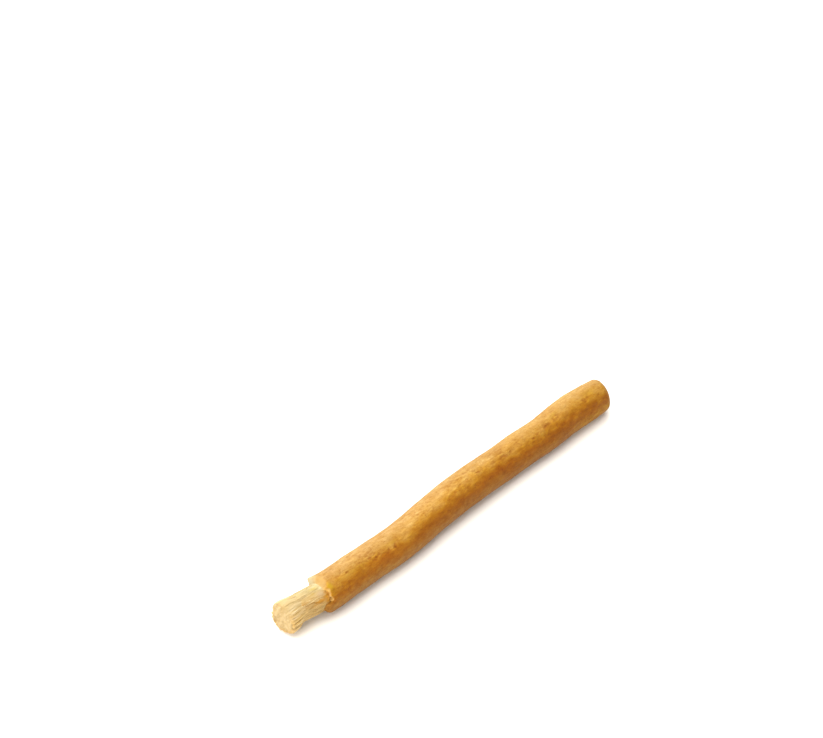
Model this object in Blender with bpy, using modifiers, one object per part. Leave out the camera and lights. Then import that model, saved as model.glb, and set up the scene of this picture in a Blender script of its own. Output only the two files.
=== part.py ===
"""Miswak stick: a length of root in its bark, peeled at one end, where the bare wood is frayed into a brush.

It lies along X on the plane z = 0, with the brush at -X and the sawn end at +X. Distances along the
stick are measured from the brush's tip. Every blank is turned on a straight axis first, and then laid
on the stick's own bent course. Angles round the stick start at +Y and go up towards +Z.
"""

import math

import bmesh
import bpy
import numpy as np
from mathutils import Vector, noise

# Driving dimensions, in metres
LENGTH = 0.150  # from the brush's tip to the middle of the sawn end
MIDDLE = 0.0753  # distance along of the part's origin, halfway between its ends
BARK_RADIUS = 0.00628  # outside of the bark, halfway along
WOOD_RADIUS = 0.00475  # bare wood behind the brush
PEELED = 0.0164  # bare wood, from the brush's tip to the edge of the bark
GAP = 0.0003  # kept between the bark and the wood
END_ROUNDING = 0.0023  # of the sawn end's edge, which reaches past the bark onto the wood
LIP_ROUNDING = 0.0007  # of the bark's outer edge where it was cut round
END_SLANT = 0.20  # how far the saw cut leans, as a slope across the stick
REST_FLAT = 0.00018  # how deep the underside is flattened where it lies

# The course: share of LENGTH from the brush's tip, sideways, lift off the surface, bark radius
COURSE = (
    (0.00, 0.0000, 0.00000, 0.00640),
    (0.045, -0.0001, 0.00000, 0.00640),
    (0.09, -0.0009, 0.00000, 0.00640),
    (0.13, -0.0012, 0.00000, 0.00640),
    (0.22, -0.0011, 0.00004, 0.00628),
    (0.34, -0.0014, 0.00000, 0.00622),
    (0.42, -0.0003, 0.00015, 0.00628),
    (0.50, 0.0006, 0.00030, 0.00627),
    (0.58, 0.0010, 0.00020, 0.00632),
    (0.66, 0.0010, 0.00000, 0.00620),
    (0.72, 0.0011, 0.00008, 0.00621),
    (0.80, 0.0008, 0.00015, 0.00616),
    (0.86, 0.0013, 0.00010, 0.00634),
    (0.91, 0.0015, 0.00004, 0.00632),
    (0.95, 0.0013, 0.00000, 0.00616),
    (0.975, 0.0013, 0.00000, 0.00594),
    (1.00, 0.0014, 0.00000, 0.00556),
)

AROUND = 28  # sides of the turned blanks
BARK_STEP = 0.0028  # between the rings of the bark's outside
WOOD_STEP = 0.0080  # between the rings inside the bark
ROUNDING_STEPS = 4

LUMP_SIZE, LUMP_HEIGHT = 0.0085, 0.00016
RIDGE_LENGTH, RIDGE_SIZE, RIDGE_HEIGHT = 0.035, 0.0022, 0.00007

# Locks of fibres: how many, distance from the axis at the neck, and at the tip
LOCK_RINGS = ((20, 0.00390, 0.00484), (14, 0.00255, 0.00350), (8, 0.00130, 0.00195), (1, 0.0, 0.0))
LOCK_RADIUS = 0.00078
LOCK_ROOT = 0.0100  # how far behind the brush's tip the locks start
SEED = 7


def clear_scene():
    for thing in list(bpy.data.objects):
        bpy.data.objects.remove(thing)


def plain_material(name, colour, roughness):
    made = bpy.data.materials.new(name)
    made.use_nodes = True
    shader = made.node_tree.nodes["Principled BSDF"]
    shader.inputs["Base Color"].default_value = (*colour, 1.0)
    shader.inputs["Roughness"].default_value = roughness
    shader.inputs["Metallic"].default_value = 0.0
    return made


def smooth_table(column):
    """A natural cubic spline through one column of COURSE, as a function of the distance along the stick."""
    at = np.array([row[0] for row in COURSE]) * LENGTH
    value = np.array([row[column] for row in COURSE])
    step = np.diff(at)
    count = len(at)
    system, right = np.eye(count), np.zeros(count)
    for i in range(1, count - 1):
        system[i, i - 1 : i + 2] = step[i - 1], 2 * (step[i - 1] + step[i]), step[i]
        slope_after = (value[i + 1] - value[i]) / step[i]
        slope_before = (value[i] - value[i - 1]) / step[i - 1]
        right[i] = 6 * (slope_after - slope_before)
    bend = np.linalg.solve(system, right)

    def read(along):
        i = int(np.clip(np.searchsorted(at, along) - 1, 0, count - 2))
        before, after = at[i + 1] - along, along - at[i]
        return float(
            (bend[i] * before**3 + bend[i + 1] * after**3) / (6 * step[i])
            + (value[i] / step[i] - bend[i] * step[i] / 6) * before
            + (value[i + 1] / step[i] - bend[i + 1] * step[i] / 6) * after
        )

    return read


sideways, lift, bark_radius = (smooth_table(column) for column in (1, 2, 3))


def centre(along):
    height = bark_radius(along) + lift(along) - REST_FLAT
    return Vector((along - MIDDLE, sideways(along), height))


def ease(start, end, value):
    """0 before start, 1 after end, and smooth between them."""
    share = min(1.0, max(0.0, (value - start) / (end - start)))
    return share * share * (3 - 2 * share)


def near_angle(angle, middle, width):
    """1 at the middle angle, fading to 0 at about twice the width on either side, in degrees."""
    away = (math.degrees(angle) - middle + 180) % 360 - 180
    return math.exp(-((away / width) ** 2))


def lumps(along, angle):
    """How far the bark stands above its plain round form: broad lumps, and low ridges along the grain."""
    across, up = math.cos(angle) * BARK_RADIUS, math.sin(angle) * BARK_RADIUS
    lump = noise.noise(Vector((along, across, up)) / LUMP_SIZE)
    ridge = noise.noise(Vector((along / RIDGE_LENGTH, across / RIDGE_SIZE, up / RIDGE_SIZE)))
    return LUMP_HEIGHT * lump + RIDGE_HEIGHT * ridge


def bark_relief(along, radius, angle):
    """The bark's own form on the straight blank: its lumps outside, and its ragged lip at the brush's end.

    Above, a tongue of inner bark stands forward and lifts. Beside it the face leans back as a thin ramp.
    Further down the lip stands off the wood and curls.
    """
    inside = WOOD_RADIUS + GAP
    depth = min(1.0, max(0.0, (radius - inside) / (BARK_RADIUS - inside)))
    outer = depth > 0.5
    lip = 1 - ease(0.0, 0.0045, along - PEELED)
    tongue = near_angle(angle, 40, 22)
    ramp = near_angle(angle, 104, 24)
    curl = near_angle(angle, 148, 18)
    below = near_angle(angle, 215, 34)
    ragged = 0.00016 * math.sin(3 * angle + 0.6) + 0.00014 * math.sin(8 * angle + 2.0)
    shift = ragged - 0.0012 * tongue - 0.0010 * below
    shift += ramp * (0.0026 * depth - 0.0013) + 0.0005 * curl
    if outer:
        share = bark_radius(along) / BARK_RADIUS
        radius = radius * share + lumps(along, angle) + lip * (0.00045 * tongue + 0.00010 * curl)
    else:
        radius = tapered(along, radius) + lip**2 * 0.0006 * curl
    return along + lip * shift, radius


def tapered(along, radius):
    """Near the sawn end the wood and the inside of the bark narrow as the bark's outside does."""
    return radius * (1 + (bark_radius(along) / BARK_RADIUS - 1) * ease(0.88, 0.95, along / LENGTH))


def wood_relief(along, radius, angle):
    return along, tapered(along, radius)


def lay_on_course(mesh, relief):
    """Moves a straight blank, turned about X, onto the stick's course, with the saw cut's slant."""
    for vertex in mesh.vertices:
        along, across, up = vertex.co
        radius, angle = math.hypot(across, up), math.atan2(up, across)
        along, radius = relief(along, radius, angle)
        slant = END_SLANT * ease(0.9, 1.0, along / LENGTH) * radius * math.cos(angle)
        place = centre(along)
        vertex.co = (
            place.x + slant,
            place.y + radius * math.cos(angle),
            max(0.0, place.z + radius * math.sin(angle)),
        )


def as_mesh(thing):
    """Replaces an object by the mesh that its modifiers or its curve make, closed and facing out."""
    graph = bpy.context.evaluated_depsgraph_get()
    mesh = bpy.data.meshes.new_from_object(thing.evaluated_get(graph))
    name, collections, matrix = thing.name, list(thing.users_collection), thing.matrix_world.copy()
    bpy.data.objects.remove(thing)
    made = bpy.data.objects.new(name, mesh)
    made.matrix_world = matrix
    for collection in collections:
        collection.objects.link(made)
    shape = bmesh.new()
    shape.from_mesh(mesh)
    bmesh.ops.remove_doubles(shape, verts=shape.verts, dist=0.000001)
    bmesh.ops.recalc_face_normals(shape, faces=shape.faces)
    if shape.calc_volume(signed=True) < 0:
        bmesh.ops.reverse_faces(shape, faces=shape.faces)
    shape.to_mesh(mesh)
    shape.free()
    return made


def turned_blank(name, outline, closed):
    """A solid turned about X from an outline of (along, radius) points, as a plain mesh object."""
    bare = bpy.data.meshes.new(name)
    edges = [(i, i + 1) for i in range(len(outline) - 1)]
    if closed:
        edges.append((len(outline) - 1, 0))
    half_side = math.pi / AROUND  # puts a flat side, and not a corner, at the bottom
    points = [(s, r * math.sin(half_side), r * math.cos(half_side)) for s, r in outline]
    bare.from_pydata(points, edges, [])
    blank = bpy.data.objects.new(name, bare)
    bpy.context.collection.objects.link(blank)
    screw = blank.modifiers.new("turn", "SCREW")
    screw.axis = "X"
    screw.steps = screw.render_steps = AROUND
    screw.use_merge_vertices = True
    screw.merge_threshold = 0.00001
    return as_mesh(blank)


def rounded_edge(along, rounding, direction, first, last):
    """Points (along, radius) of an end's rounding, from the first radius in to the last one."""
    turns = (math.acos(1 - (BARK_RADIUS - radius) / rounding) for radius in (first, last))
    return [
        (along - direction * rounding * (1 - math.sin(t)), BARK_RADIUS - rounding * (1 - math.cos(t)))
        for t in np.linspace(*turns, ROUNDING_STEPS + 1)
    ]


def steps_between(start, end, step):
    """Even steps from start to end, without the ends."""
    return np.linspace(start, end, max(2, round(abs(end - start) / step) + 1))[1:-1]


def make_bark(material):
    inside = WOOD_RADIUS + GAP
    start, end = PEELED, LENGTH
    side_start, side_end = start + LIP_ROUNDING, end - END_ROUNDING
    outline = rounded_edge(start, LIP_ROUNDING, -1, BARK_RADIUS, BARK_RADIUS - LIP_ROUNDING)[::-1]
    outline += [(s, BARK_RADIUS) for s in np.arange(side_start + 0.001, start + 0.0045, 0.0011)]
    outline += [(s, BARK_RADIUS) for s in steps_between(start + 0.0045, side_end, BARK_STEP)]
    outline += rounded_edge(end, END_ROUNDING, 1, BARK_RADIUS, inside)
    outline += [(s, inside) for s in steps_between(outline[-1][0], start + 0.003, WOOD_STEP)]
    outline += [(start + 0.003, inside), (start + 0.0012, inside), (start, inside)]
    bark = turned_blank("bark", outline, closed=True)
    lay_on_course(bark.data, bark_relief)
    bark.data.materials.append(material)
    return bark


def make_wood(material):
    """The wood runs through the bark; bare, it narrows a little and then swells into the brush's heart."""
    outline = [(LENGTH, 0.0)]
    outline += rounded_edge(LENGTH, END_ROUNDING, 1, WOOD_RADIUS, BARK_RADIUS - END_ROUNDING)[::-1]
    outline += [(s, WOOD_RADIUS) for s in steps_between(outline[-1][0], PEELED + 0.002, WOOD_STEP)]
    outline += [(PEELED + 0.002, WOOD_RADIUS), (0.0130, WOOD_RADIUS), (0.0100, WOOD_RADIUS - 0.00004)]
    outline += [(0.0080, WOOD_RADIUS - 0.00009), (0.0060, WOOD_RADIUS), (0.0042, WOOD_RADIUS + 0.0002)]
    outline += [(0.0024, WOOD_RADIUS + 0.0001), (0.0016, WOOD_RADIUS - 0.0006), (0.0013, 0.0)]
    wood = turned_blank("wood_core", outline, closed=False)
    lay_on_course(wood.data, wood_relief)
    wood.data.materials.append(material)
    return wood


def make_lock(name, angle, near_axis, at_tip, tip_along, swing, material):
    """One lock of fibres: it leaves the neck along the grain and bends outwards to its blunt tip."""
    curve = bpy.data.curves.new(name, "CURVE")
    curve.dimensions = "3D"
    curve.bevel_depth = LOCK_RADIUS
    curve.bevel_resolution = 1
    curve.use_fill_caps = True
    shares = (0.0, 0.35, 0.6, 0.8, 0.94, 1.0)
    widths = (0.85, 0.95, 1.0, 1.0, 0.95, 0.78)
    spline = curve.splines.new("POLY")
    spline.points.add(len(shares) - 1)
    for point, share, width in zip(spline.points, shares, widths):
        along = LOCK_ROOT + (tip_along - LOCK_ROOT) * share
        out = near_axis + (at_tip - near_axis) * ease(0.3, 0.9, share)
        turn = angle + swing * share**2
        place = centre(along)
        point.co = (place.x, place.y + out * math.cos(turn), place.z + out * math.sin(turn), 1.0)
        point.radius = width
    lock = bpy.data.objects.new(name, curve)
    bpy.context.collection.objects.link(lock)
    lock = as_mesh(lock)
    lock.data.materials.append(material)
    return lock


def add_locks(wood, material):
    """Joins the brush's locks to the wood. Below and above they stop a little short, and at -Y they reach out."""
    chance = np.random.default_rng(SEED)
    gathered = bpy.data.collections.new("locks")
    bpy.context.scene.collection.children.link(gathered)
    for ring, (count, near_axis, at_tip) in enumerate(LOCK_RINGS):
        for i in range(count):
            angle = 2 * math.pi * (i + 0.5 * ring + 0.2 * chance.uniform(-1, 1)) / count
            outside = 1.0 if ring == 0 else 0.3
            splay = outside * near_angle(angle, 203, 24)
            short = outside * near_angle(angle, 20, 32)
            long = outside * near_angle(angle, 300, 50)
            reach = at_tip * (1 + 0.03 * chance.uniform(-1, 1)) + 0.0003 * splay - 0.0002 * short
            tip_along = 0.0002 + 0.0002 * chance.uniform(0, 1)
            tip_along += 0.0009 * short - 0.0001 * splay - 0.0004 * long
            swing = 0.10 * chance.uniform(-1, 1)
            lock = make_lock(f"lock_{ring}_{i}", angle, near_axis, reach, tip_along, swing, material)
            for collection in lock.users_collection:
                collection.objects.unlink(lock)
            gathered.objects.link(lock)
            lock.hide_render = True
            lock.display_type = "WIRE"
    join = wood.modifiers.new("locks", "BOOLEAN")
    join.operation = "UNION"
    join.operand_type = "COLLECTION"
    join.collection = gathered


def main():
    clear_scene()
    stick = bpy.data.collections.new("miswak stick")
    bpy.context.scene.collection.children.link(stick)
    layer = bpy.context.view_layer.layer_collection.children[stick.name]
    bpy.context.view_layer.active_layer_collection = layer
    bark_finish = plain_material("bark", (0.60, 0.29, 0.065), 0.62)
    wood_finish = plain_material("bare wood", (0.85, 0.66, 0.36), 0.80)
    make_bark(bark_finish)
    wood = make_wood(wood_finish)
    add_locks(wood, wood_finish)


main()
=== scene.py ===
"""Dresses the miswak stick: wrinkled bark, bare fibrous wood, and a brush of real fibres.

The forms follow the solids. Distances along the stick are measured from the brush's tip, in metres,
and angles round it start at +Y and go up towards +Z.
"""

import math

import bpy
import numpy as np
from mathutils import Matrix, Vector, noise

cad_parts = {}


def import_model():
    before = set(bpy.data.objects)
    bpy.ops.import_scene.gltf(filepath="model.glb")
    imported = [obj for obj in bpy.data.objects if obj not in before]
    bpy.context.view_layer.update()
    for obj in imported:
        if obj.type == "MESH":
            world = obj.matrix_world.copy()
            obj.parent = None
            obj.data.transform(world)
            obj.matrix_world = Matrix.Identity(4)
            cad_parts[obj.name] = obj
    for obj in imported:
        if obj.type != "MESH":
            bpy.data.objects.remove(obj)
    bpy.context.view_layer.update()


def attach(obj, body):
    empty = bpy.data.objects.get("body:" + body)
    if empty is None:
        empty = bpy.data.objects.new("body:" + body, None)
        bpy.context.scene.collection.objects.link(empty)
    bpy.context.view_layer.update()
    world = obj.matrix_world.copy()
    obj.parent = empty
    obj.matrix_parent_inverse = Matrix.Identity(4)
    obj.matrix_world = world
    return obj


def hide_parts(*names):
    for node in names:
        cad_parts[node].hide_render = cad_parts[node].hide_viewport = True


# The stick's own sizes, as in the solids
LENGTH = 0.150
MIDDLE = 0.0753
BARK_RADIUS = 0.00628
WOOD_RADIUS = 0.00475
END_ROUNDING = 0.0023
END_SLANT = 0.20
REST_FLAT = 0.00018

# The course: share of LENGTH from the brush's tip, sideways, lift off the surface, bark radius
COURSE = np.array(
    (
        (0.00, 0.0000, 0.00000, 0.00640),
        (0.045, -0.0001, 0.00000, 0.00640),
        (0.09, -0.0009, 0.00000, 0.00640),
        (0.13, -0.0012, 0.00000, 0.00640),
        (0.22, -0.0011, 0.00004, 0.00628),
        (0.34, -0.0014, 0.00000, 0.00622),
        (0.42, -0.0003, 0.00015, 0.00628),
        (0.50, 0.0006, 0.00030, 0.00627),
        (0.58, 0.0010, 0.00020, 0.00632),
        (0.66, 0.0010, 0.00000, 0.00620),
        (0.72, 0.0011, 0.00008, 0.00621),
        (0.80, 0.0008, 0.00015, 0.00616),
        (0.86, 0.0013, 0.00010, 0.00634),
        (0.91, 0.0015, 0.00004, 0.00632),
        (0.95, 0.0013, 0.00000, 0.00616),
        (0.975, 0.0013, 0.00000, 0.00594),
        (1.00, 0.0014, 0.00000, 0.00556),
    )
)
LUMP_SIZE, LUMP_HEIGHT = 0.0085, 0.00016
RIDGE_LENGTH, RIDGE_SIZE, RIDGE_HEIGHT = 0.035, 0.0022, 0.00007

# The bark's torn lip, round the stick: angle in degrees, then in millimetres where its edge meets the wood,
# the length of its rise, the gap behind its edge, how far it stands proud, and how far the brown skin
# stays back from its edge; last, how hollow its rise is, from 0 for a rounded one to 1 for a thin ramp
LIP = (
    (10, 16.0, 1.2, 0.0, 0.10, 1.4, 0.0),
    (38, 15.2, 0.7, 0.0, 0.50, 2.6, 0.0),
    (60, 15.6, 1.6, 0.0, 0.26, 2.3, 0.5),
    (85, 15.1, 2.7, 0.0, 0.0, 2.5, 1.0),
    (104, 15.2, 2.6, 0.0, 0.0, 2.0, 1.0),
    (119, 15.7, 1.1, 0.10, 0.06, 1.0, 0.2),
    (132, 16.1, 0.5, 0.30, 0.14, 0.36, 0.0),
    (146, 15.6, 0.6, 0.34, 0.10, 0.30, 0.0),
    (152, 16.2, 0.4, 0.26, 0.0, 0.0, 0.0),
    (158, 16.0, 0.5, 0.26, 0.06, 0.05, 0.0),
    (166, 15.9, 0.7, 0.20, 0.0, -0.4, 0.0),
    (174, 14.0, 1.5, 0.05, 0.0, -1.0, 0.0),
    (185, 13.4, 1.9, 0.0, 0.0, -1.0, 0.0),
    (199, 13.6, 1.9, 0.0, 0.0, -1.0, 0.0),
    (218, 14.6, 1.9, 0.0, 0.0, -0.8, 0.0),
    (245, 15.8, 1.4, 0.1, 0.0, 0.3, 0.0),
    (275, 16.1, 1.2, 0.0, 0.0, 1.0, 0.2),
    (305, 15.8, 1.6, 0.0, 0.0, 1.8, 0.7),
    (335, 15.6, 1.2, 0.1, 0.04, 1.2, 0.1),
)

# Where the lip curls off the wood, in degrees, and where the bark's evenly stepped side starts. The bore
# reaches this far into the wood, so that no gap shows, and this far behind the side's start in fine steps
CURL_ANGLE = 141
SIDE_START = 0.0172
BORE_OVERLAP = 0.00005
BORE_DEPTH = 0.005

# The bark is painted palest along this line, where the light falls on it, and darker away from it as painted
# shade
PAINTED_LIGHT_SIDE = 67

# Marks seen on the stick, each one: distance along, angle in degrees, half length, half width in degrees.
# First the bark's wrinkled patches and coloured ones
WRINKLED = (
    (0.0246, 111, 0.0030, 8),
    (0.0350, 112, 0.0022, 10),
    (0.0372, 125, 0.0028, 7),
    (0.0440, 126, 0.0030, 10),
    (0.0560, 290, 0.0050, 14),
    (0.0870, 109, 0.0020, 6),
    (0.0900, 230, 0.0050, 12),
    (0.0992, 110, 0.0034, 8),
    (0.1138, 118, 0.0024, 8),
    (0.1188, 106, 0.0022, 7),
    (0.1244, 105, 0.0020, 9),
    (0.1382, 118, 0.0026, 9),
)
BLEACHED = (
    (0.0228, 113, 0.0020, 6),
    (0.0620, 97, 0.0100, 24),
    (0.0740, 103, 0.0100, 24),
    (0.0895, 99, 0.0070, 15),
    (0.1018, 90, 0.0040, 9),
    (0.1095, 149, 0.0028, 14),
)
DEEPER = (
    (0.0315, 113, 0.0024, 6),
    (0.0402, 115, 0.0030, 10),
    (0.0447, 101, 0.0036, 14),
    (0.1280, 124, 0.0030, 10),
    (0.1383, 97, 0.0030, 12),
)
REDDISH = (
    (0.0400, 137, 0.0060, 13),
    (0.0960, 139, 0.0130, 10),
    (0.1280, 137, 0.0060, 7),
)
MUSTARD = ((0.0172, 117, 0.0010, 14),)
GOLDEN_BARK = (
    (0.0260, 117, 0.0060, 8),
    (0.0440, 113, 0.0030, 6),
    (0.1243, 93, 0.0026, 8),
    (0.1416, 101, 0.0034, 9),
)

# Then the bare neck's stained, pinkish, golden, pale and weathered places
STAINED = (
    (0.0128, 147, 0.0026, 7),
    (0.0112, 144, 0.0010, 4),
    (0.0150, 138, 0.0012, 5),
    (0.0152, 158, 0.0009, 12),
)
PINKISH = ((0.0138, 118, 0.0014, 10),)
GOLDEN = ((0.0130, 88, 0.0017, 9), (0.0116, 104, 0.0012, 6))
PALE_WOOD = ((0.0098, 124, 0.0014, 5), (0.0122, 166, 0.0028, 8), (0.0080, 160, 0.0012, 5))
WEATHERED = (
    (0.0070, 132, 0.0009, 4),
    (0.0078, 146, 0.0013, 4),
    (0.0100, 137, 0.0008, 3),
    (0.0093, 155, 0.0018, 4),
    (0.0134, 153, 0.0020, 3),
    (0.0060, 118, 0.0009, 8),
)

# The brush: its locks as in the solids, ring by ring (how many, and their distance from the axis at the tip)
LOCK_RINGS = ((20, 0.00484), (14, 0.00350), (8, 0.00195), (1, 0.0))
LOCK_ROOT = 0.0100
LOCK_SEED = 7
BRUSH_RADIUS = 0.00556

# Marks on the brush's side: splits between its fibres, sunk in and darkened with painted shade, and tufts,
# raised and lightened with a painted highlight
SPLITS = (
    (0.0034, 125, 0.0018, 4),
    (0.0060, 123, 0.0020, 6),
    (0.0032, 138, 0.0018, 4),
    (0.0038, 160, 0.0022, 6),
    (0.0028, 173, 0.0018, 4),
    (0.0022, 185, 0.0016, 4),
)
TUFTS = (
    (0.0026, 131, 0.0014, 3),
    (0.0015, 148, 0.0012, 4),
    (0.0010, 207, 0.0012, 12),
)

# Fibres: how many in the brush, on the neck and along the lip. Those of the brush further out than
# SHELL, a share of its radius, show along their length and have more points
FIBRES = 2800
NECK_FIBRES = 260
LIP_FIBRES = 90
FIBRE_SIDES = 5
SHELL = 0.78
GOLDEN_ANGLE = 2.399963

# Fineness of the dressed surfaces
BARK_AROUND = 240
BARK_STEP = 0.00045
WOOD_AROUND = 300
WOOD_STEP = 0.00014
HIDDEN_STEP = 0.005

SEED = 20


def ease(start, end, value):
    """0 before start, 1 after end, and smooth between them."""
    share = np.clip((value - start) / (end - start), 0.0, 1.0)
    return share * share * (3 - 2 * share)


def near_angle(angle, middle, width):
    """1 at the middle angle, fading to 0 at about twice the width on either side, in degrees."""
    away = (np.degrees(angle) - middle + 180) % 360 - 180
    return np.exp(-((away / width) ** 2))


def round_table(column, angle):
    """One column of LIP as a function of the angle, with a smooth step from each row to the next."""
    at = np.array([row[0] for row in LIP] + [LIP[0][0] + 360.0])
    value = np.array([row[column] for row in LIP] + [LIP[0][column]])
    degrees = np.degrees(angle) % 360
    degrees = np.where(degrees < at[0], degrees + 360, degrees)
    i = np.clip(np.searchsorted(at, degrees, side="right") - 1, 0, len(LIP) - 1)
    return value[i] + (value[i + 1] - value[i]) * ease(0, 1, (degrees - at[i]) / (at[i + 1] - at[i]))


def smooth_table(column):
    """A natural cubic spline through one column of COURSE, as a function of the distance along the stick."""
    at, value = COURSE[:, 0] * LENGTH, COURSE[:, column]
    step = np.diff(at)
    count = len(at)
    system, right = np.eye(count), np.zeros(count)
    for i in range(1, count - 1):
        system[i, i - 1 : i + 2] = step[i - 1], 2 * (step[i - 1] + step[i]), step[i]
        slope_after = (value[i + 1] - value[i]) / step[i]
        slope_before = (value[i] - value[i - 1]) / step[i - 1]
        right[i] = 6 * (slope_after - slope_before)
    bend = np.linalg.solve(system, right)

    def read(along):
        i = np.clip(np.searchsorted(at, along) - 1, 0, count - 2)
        before, after = at[i + 1] - along, along - at[i]
        return (
            (bend[i] * before**3 + bend[i + 1] * after**3) / (6 * step[i])
            + (value[i] / step[i] - bend[i] * step[i] / 6) * before
            + (value[i + 1] / step[i] - bend[i + 1] * step[i] / 6) * after
        )

    return read


sideways, lift, bark_radius = (smooth_table(column) for column in (1, 2, 3))


def place(along, angle, radius):
    """Points of the stick in the row frame, from arrays of distance along, angle round, and distance out."""
    along, angle, radius = np.broadcast_arrays(along, angle, radius)
    slant = END_SLANT * ease(0.9, 1.0, along / LENGTH) * radius * np.cos(angle)
    height = bark_radius(along) + lift(along) - REST_FLAT
    return np.stack(
        (
            along - MIDDLE + slant,
            sideways(along) + radius * np.cos(angle),
            np.maximum(0.0, height + radius * np.sin(angle)),
        ),
        axis=-1,
    )


def noise_at(points, sizes):
    """Perlin noise at each point, for a pattern of these sizes along, across and up."""
    flat = (points / np.asarray(sizes)).reshape(-1, 3).tolist()
    return np.array([noise.noise(p) for p in flat]).reshape(points.shape[:-1])


def cell_distance(points, sizes):
    """Distance from each point to the nearest of many scattered ones, in shares of their spacing."""
    flat = (points / np.asarray(sizes)).reshape(-1, 3).tolist()
    return np.array([noise.voronoi(p)[0][0] for p in flat]).reshape(points.shape[:-1])


def straight_points(along, angle, radius):
    """Where a point would be on a straight stick, which is what the patterns follow."""
    along, angle, radius = np.broadcast_arrays(along, angle, radius)
    return np.stack((along, radius * np.cos(angle), radius * np.sin(angle)), axis=-1)


def marked(marks, along, angle):
    """1 in the middle of each of the marks, fading to 0 outside them."""
    found = np.zeros(along.shape)
    for at, middle, length, width in marks:
        found = np.maximum(found, np.exp(-(((along - at) / length) ** 2)) * near_angle(angle, middle, width))
    return found


def from_top(angle, wobble=0.0):
    """How far round from the painted light side a point is, from 0 there to 1 opposite. Wobble is in degrees.
    """
    away = np.abs((np.degrees(angle) - PAINTED_LIGHT_SIDE + 180) % 360 - 180)
    return np.clip(away + wobble, 0, 180) / 180


def mesh_object(name, points, faces, attributes, material):
    """A smooth-shaded mesh object with named values on its points."""
    mesh = bpy.data.meshes.new(name)
    mesh.from_pydata(points.tolist(), [], faces)
    for key, values in attributes.items():
        layer = mesh.attributes.new(key, "FLOAT", "POINT")
        layer.data.foreach_set("value", np.asarray(values, np.float32).ravel())
    mesh.validate()
    mesh.shade_smooth()
    made = bpy.data.objects.new(name, mesh)
    bpy.context.scene.collection.objects.link(made)
    made.data.materials.append(material)
    return made


def ring_faces(rings, around, closed):
    """Quads between successive rings of points; closed joins the last ring to the first."""
    spans = rings if closed else rings - 1
    i = np.arange(spans)[:, None] * around
    after = (np.arange(spans)[:, None] + 1) % rings * around
    j = np.arange(around)[None, :]
    k = (j + 1) % around
    return np.stack((i + j, after + j, after + k, i + k), axis=-1).reshape(-1, 4).tolist()


def steps_between(start, end, step):
    """Even steps from start to end, without the ends."""
    return np.linspace(start, end, max(2, round(abs(end - start) / step) + 1))[1:-1]


def lumps(points):
    """The bark's broad lumps and low ridges, as in the solids."""
    ridges = (RIDGE_LENGTH, RIDGE_SIZE, RIDGE_SIZE)
    return LUMP_HEIGHT * noise_at(points, (LUMP_SIZE,) * 3) + RIDGE_HEIGHT * noise_at(points, ridges)


def fine_bark(points, along, angle):
    """The bark's small relief in metres: wrinkles along the grain, and patches of pits and short creases.

    With it come how patched, pitted, folded and crested each point is.
    """
    wrinkles = noise_at(points, (0.0070, 0.0010, 0.0010))
    bumps = noise_at(points + 0.57, (0.0023, 0.0013, 0.0013))
    fine = noise_at(points + 0.31, (0.0013, 0.0006, 0.0006))
    patches = ease(0.10, 0.42, noise_at(points + 0.77, (0.0120, 0.0065, 0.0065)))
    patches = np.maximum(patches * 0.6, 1.6 * marked(WRINKLED, along, angle))
    pits = ease(0.52, 0.22, cell_distance(points, (0.0018, 0.0012, 0.0012)))
    folds = np.clip(1 - 4 * np.abs(noise_at(points + 0.13, (0.0030, 0.0017, 0.0017))), 0, 1) ** 2
    wandering = points + 0.0006 * noise_at(points, (0.0040, 0.0025, 0.0025))[..., None]
    creases = np.clip(1 - 5 * np.abs(noise_at(wandering + 0.47, (0.0085, 0.0013, 0.0013))), 0, 1)
    creases = creases * ease(-0.10, 0.30, noise_at(points + 0.23, (0.0060, 0.0030, 0.0030)))
    height = 0.000020 * wrinkles + 0.000060 * bumps + 0.000020 * fine - 0.000045 * creases
    height += patches * (0.000060 * bumps + 0.000030 * fine - 0.000060 * folds - 0.000080 * pits)
    crests = patches * ease(0.08, 0.34, fine + 0.5 * bumps) * (1 - pits) * (1 - folds)
    return height, patches, np.maximum(pits * patches, 0.35 * creases), folds * patches, crests


def near_end(along):
    """1 at the sawn end, where bark and wood taper together, and 0 along the rest of the stick."""
    return ease(0.88, 0.95, along / LENGTH)


def end_arc(start_radius, end_radius, count):
    """Distance along and radius of points on the sawn end's rounding, which bark and wood share."""
    turns = (math.acos(1 - (BARK_RADIUS - radius) / END_ROUNDING) for radius in (start_radius, end_radius))
    turn = np.linspace(*turns, count)
    return LENGTH - END_ROUNDING * (1 - np.sin(turn)), BARK_RADIUS - END_ROUNDING * (1 - np.cos(turn))


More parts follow.
